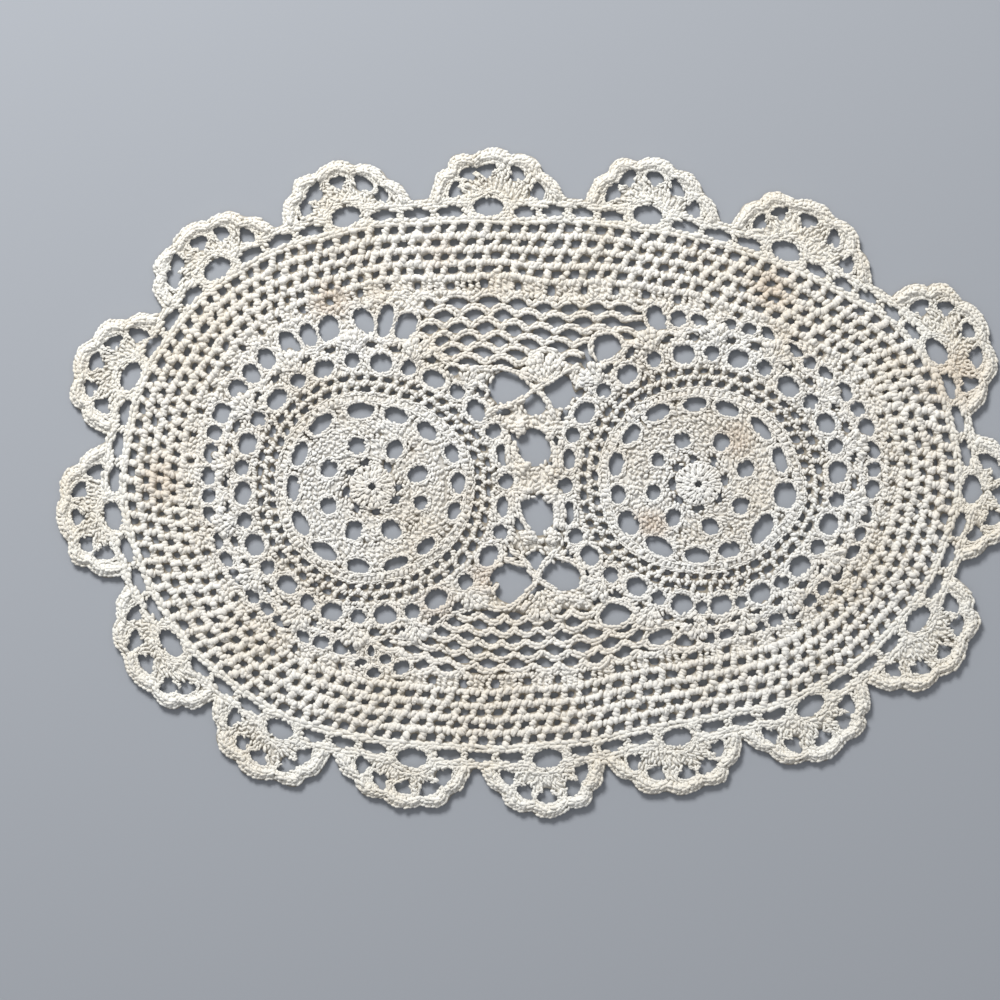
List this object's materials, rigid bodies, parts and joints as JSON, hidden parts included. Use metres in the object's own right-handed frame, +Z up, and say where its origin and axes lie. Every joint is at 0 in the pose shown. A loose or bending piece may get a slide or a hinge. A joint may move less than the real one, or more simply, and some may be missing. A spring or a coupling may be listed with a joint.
{
  "type": "lace doily",
  "caption": "Oval crocheted lace doily: round medallions joined at the waist, an openwork ground and a scalloped shell edging.",
  "frame": {"origin": "middle of the doily's plan, on the surface that it lies on", "axes": "+X along the length, from the left medallion to the right one; +Y across the width; +Z up, out of the lace"},
  "size_m": [0.2824, 0.196, 0.002],
  "materials": {
    "cotton_medallion": "matt ecru crochet cotton",
    "cotton_ground": "matt ecru crochet cotton",
    "cotton_edging": "matt ecru crochet cotton"
  },
  "bodies": {
    "root": {"medallion_left": "cotton_medallion", "medallion_right": "cotton_medallion", "lace_ground": "cotton_ground", "shell_edging": "cotton_edging"}
  },
  "joints": []
}
